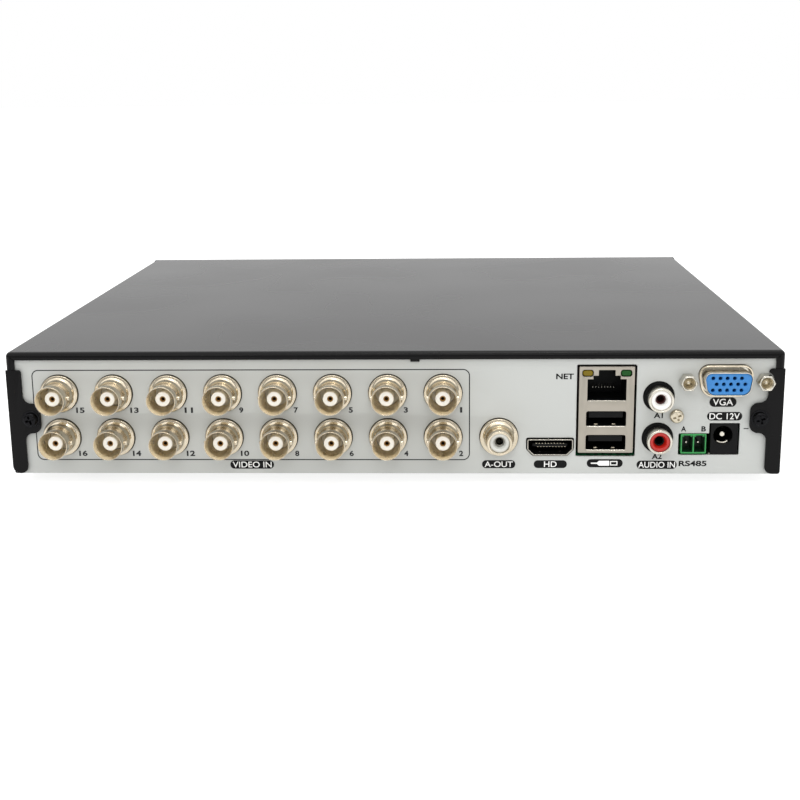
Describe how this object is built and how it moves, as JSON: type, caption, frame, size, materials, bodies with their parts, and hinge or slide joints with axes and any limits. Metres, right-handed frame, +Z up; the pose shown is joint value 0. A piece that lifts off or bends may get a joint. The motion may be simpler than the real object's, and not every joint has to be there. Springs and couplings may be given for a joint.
{
  "type": "video recorder",
  "caption": "Compact steel-cased video recorder with a plastic key front and a rear panel of stacked BNC inputs, audio, HDMI, network, USB, VGA, control and power sockets.",
  "frame": {"origin": "on the table under the middle of the whole recorder, midway between the key fronts and the video sockets' mouths", "axes": "+Y out of the rear panel, -Y out of the key front, +Z up, +X to the left seen from behind"},
  "size_m": [0.2604, 0.249, 0.0455],
  "materials": {
    "cover_black": "powder coated, matte",
    "panel_grey": "satin",
    "tray_steel": "galvanised, satin",
    "screw_black": "black zinc, satin",
    "rubber_black": "matte",
    "bezel_plastic": "matte",
    "window_smoked": "gloss",
    "board_green": "satin",
    "switch_black": "matte",
    "led_clear": "gloss",
    "ir_dark": "gloss",
    "key_red": "satin",
    "key_grey": "satin",
    "standoff_brass": "satin",
    "screw_steel": "zinc plated, satin",
    "heatsink_grey": "anodised, matte",
    "chip_black": "matte",
    "capacitor_blue": "gloss",
    "battery_steel": "satin",
    "housing_black": "satin",
    "nickel_warm": "nickel plated, polished",
    "insulator_white": "satin",
    "contact_gold": "gold plated, polished",
    "insulator_grey": "satin",
    "ring_white": "satin",
    "ring_red": "satin",
    "shield_nickel": "nickel plated, satin",
    "led_yellow": "satin",
    "led_green": "satin",
    "nickel_bright": "nickel plated, polished",
    "vga_blue": "satin",
    "terminal_green": "satin",
    "drive_aluminium": "cast, satin",
    "cable_red": "matte",
    "ribbon_grey": "matte"
  },
  "bodies": {
    "case": {"base_tray": "tray_steel", "rear_panel": "panel_grey", "top_cover": "cover_black", "cover_screws": "screw_black", "rubber_feet": "rubber_black", "front_bezel": "bezel_plastic", "front_window": "window_smoked", "front_board": "board_green", "key_switches": "switch_black", "indicator_leds": "led_clear", "ir_receiver": "ir_dark", "main_board": "board_green", "standoffs": "standoff_brass", "inner_screws": "screw_steel", "heatsink": "heatsink_grey", "board_parts": "chip_black", "capacitors": "capacitor_blue", "clock_battery": "battery_steel", "jack_housings": "housing_black", "bnc_pair_1": "nickel_warm", "bnc_pair_2": "nickel_warm", "bnc_pair_3": "nickel_warm", "bnc_pair_4": "nickel_warm", "bnc_pair_5": "nickel_warm", "bnc_pair_6": "nickel_warm", "bnc_pair_7": "nickel_warm", "bnc_pair_8": "nickel_warm", "bnc_insulators": "insulator_white", "bnc_contacts": "contact_gold", "audio_out_shell": "nickel_warm", "audio_out_insulator": "insulator_grey", "audio_in_housing": "housing_black", "audio_in_barrels": "nickel_warm", "audio_in_white_ring": "ring_white", "audio_in_red_ring": "ring_red", "hdmi_shell": "shield_nickel", "hdmi_tongue": "housing_black", "network_usb_shield": "shield_nickel", "network_usb_insert": "housing_black", "link_led_yellow": "led_yellow", "link_led_green": "led_green", "vga_shell": "nickel_bright", "vga_insert": "vga_blue", "jackscrews": "nickel_bright", "vga_board": "board_green", "terminal_block": "terminal_green", "dc_jack": "housing_black", "panel_screw": "nickel_bright", "hard_drive": "drive_aluminium", "hard_drive_board": "board_green", "drive_screws": "screw_steel", "drive_cables": "cable_red", "ribbon_cables": "ribbon_grey"},
    "power_key": {"power_key": "key_red"},
    "menu_key": {"menu_key": "key_grey"},
    "up_key": {"up_key": "key_grey"},
    "down_key": {"down_key": "key_grey"},
    "left_key": {"left_key": "key_grey"},
    "right_key": {"right_key": "key_grey"},
    "ok_key": {"ok_key": "key_grey"}
  },
  "joints": [
    {"name": "power_key_press", "type": "slide", "parent": "case", "child": "power_key", "axis": [0, 1, 0], "range_m": [0, 0.0005], "stiffness_N_per_m": 500},
    {"name": "menu_key_press", "type": "slide", "parent": "case", "child": "menu_key", "axis": [0, 1, 0], "range_m": [0, 0.0005], "stiffness_N_per_m": 500},
    {"name": "up_key_press", "type": "slide", "parent": "case", "child": "up_key", "axis": [0, 1, 0], "range_m": [0, 0.0005], "stiffness_N_per_m": 500},
    {"name": "down_key_press", "type": "slide", "parent": "case", "child": "down_key", "axis": [0, 1, 0], "range_m": [0, 0.0005], "stiffness_N_per_m": 500},
    {"name": "left_key_press", "type": "slide", "parent": "case", "child": "left_key", "axis": [0, 1, 0], "range_m": [0, 0.0005], "stiffness_N_per_m": 500},
    {"name": "right_key_press", "type": "slide", "parent": "case", "child": "right_key", "axis": [0, 1, 0], "range_m": [0, 0.0005], "stiffness_N_per_m": 500},
    {"name": "ok_key_press", "type": "slide", "parent": "case", "child": "ok_key", "axis": [0, 1, 0], "range_m": [0, 0.0005], "stiffness_N_per_m": 500}
  ]
}
